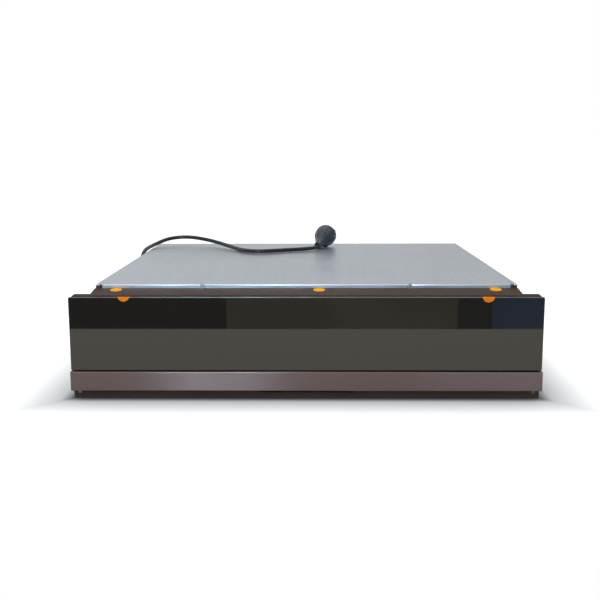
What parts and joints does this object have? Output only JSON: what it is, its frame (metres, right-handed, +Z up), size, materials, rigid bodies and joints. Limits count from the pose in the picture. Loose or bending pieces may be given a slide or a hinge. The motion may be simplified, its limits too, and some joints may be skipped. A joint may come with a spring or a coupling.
{
  "type": "warming drawer",
  "caption": "Built-in warming drawer: galvanised case, brown mounting frame, glass front with a metal strip, fan-heated tray on telescopic runners, mains cord.",
  "frame": {"origin": "bottom centre of the object's box, without the mains cord and its plug", "axes": "+X to the right seen from the front, +Y from the drawer front to the rear, +Z up"},
  "size_m": [0.594, 0.6498, 0.1813],
  "materials": {
    "galvanised_steel": "zinc-coated sheet with a faint spangle",
    "frame_paint": "satin dark brown paint",
    "zinc_steel": "zinc-plated",
    "stainless_steel": "brushed",
    "black_rubber": "matt",
    "cast_aluminium": "plain pressed sheet",
    "heater_sheath": "heat-darkened",
    "motor_steel": "varnished laminations",
    "winding": "taped winding",
    "black_plastic": "fine grain",
    "white_plastic": "smooth",
    "ball_steel": "polished",
    "cage_steel": "yellow-passivated sheet",
    "mirror_glass": "dark reflective coating",
    "bronze_strip": "bronze-brown, brushed lengthwise",
    "lamp_lens": "clear amber",
    "cord_pvc": "soft PVC",
    "pin_nickel": "nickel-plated"
  },
  "bodies": {
    "case": {"base_pan": "galvanised_steel", "left_side_panel": "galvanised_steel", "right_side_panel": "galvanised_steel", "rear_panel": "galvanised_steel", "top_cover": "galvanised_steel", "air_baffle": "galvanised_steel", "heater_duct": "galvanised_steel", "heater_clips": "galvanised_steel", "motor_bracket": "galvanised_steel", "front_frame": "frame_paint", "cover_screws": "zinc_steel", "frame_rivets": "zinc_steel", "baffle_screws": "zinc_steel", "runner_rivets": "zinc_steel", "left_runner_outer": "zinc_steel", "right_runner_outer": "zinc_steel", "latch_spring": "zinc_steel", "rear_stops": "black_rubber", "fan_housing": "cast_aluminium", "heater_element": "heater_sheath", "motor_laminations": "motor_steel", "motor_coil": "winding", "thermal_cutout": "black_plastic", "latch_body": "black_plastic", "terminal_block": "white_plastic", "cord_gland": "cord_pvc", "cord_run_gland": "cord_pvc", "cord_coil": "cord_pvc", "cord_run_plug": "cord_pvc", "mains_plug": "cord_pvc", "plug_pins": "pin_nickel"},
    "drawer": {"drawer_tray": "stainless_steel", "anti_slip_mat": "black_rubber", "left_runner_inner": "zinc_steel", "right_runner_inner": "zinc_steel", "tray_rivets": "zinc_steel", "front_carrier": "frame_paint", "glass_panel": "mirror_glass", "trim_strip": "bronze_strip", "left_front_bracket": "zinc_steel", "right_front_bracket": "zinc_steel", "front_screws": "zinc_steel", "strike_plate": "zinc_steel", "control_panel": "black_plastic", "thermostat_body": "white_plastic", "switch_body": "black_plastic", "pilot_lamp": "lamp_lens"},
    "runner_middles": {"left_runner_middle": "zinc_steel", "right_runner_middle": "zinc_steel"},
    "outer_cages": {"outer_ball_cages": "cage_steel", "outer_balls": "ball_steel"},
    "inner_cages": {"inner_ball_cages": "cage_steel", "inner_balls": "ball_steel"},
    "knob": {"thermostat_knob": "black_plastic", "thermostat_spindle": "stainless_steel"},
    "rocker": {"switch_rocker": "black_plastic"},
    "fan": {"fan_impeller": "cast_aluminium", "fan_shaft": "zinc_steel", "motor_rotor": "motor_steel"},
    "plunger": {"latch_plunger": "white_plastic"}
  },
  "joints": [
    {"name": "drawer_slide", "type": "slide", "parent": "case", "child": "drawer", "axis": [0, -1, 0], "range_m": [-0.002, 0.42]},
    {"name": "middle_slide", "type": "slide", "parent": "case", "child": "runner_middles", "axis": [0, -1, 0], "range_m": [-0.001, 0.21]},
    {"name": "outer_cage_slide", "type": "slide", "parent": "case", "child": "outer_cages", "axis": [0, -1, 0], "range_m": [-0.0005, 0.105]},
    {"name": "inner_cage_slide", "type": "slide", "parent": "case", "child": "inner_cages", "axis": [0, -1, 0], "range_m": [-0.0015, 0.315]},
    {"name": "knob_turn", "type": "hinge", "parent": "drawer", "child": "knob", "pos_m": [0.185, -0.2415, 0.109], "axis": [0, 0, -1], "range_deg": [0, 270]},
    {"name": "rocker_tilt", "type": "hinge", "parent": "drawer", "child": "rocker", "pos_m": [0.125, -0.2415, 0.1095], "axis": [0, 1, 0], "range_deg": [0, 12]},
    {"name": "fan_spin", "type": "hinge", "parent": "case", "child": "fan", "pos_m": [0.06, 0.2372, 0.066], "axis": [0, -1, 0], "continuous": true},
    {"name": "plunger_slide", "type": "slide", "parent": "case", "child": "plunger", "axis": [0, 1, 0], "range_m": [0, 0.003], "stiffness_N_per_m": 300, "springref_m": -0.01, "deforming": ["latch_spring"]}
  ],
  "couplings": [
    {"joint": "middle_slide", "follows": "drawer_slide", "ratio": 0.5},
    {"joint": "outer_cage_slide", "follows": "drawer_slide", "ratio": 0.25},
    {"joint": "inner_cage_slide", "follows": "drawer_slide", "ratio": 0.75}
  ]
}
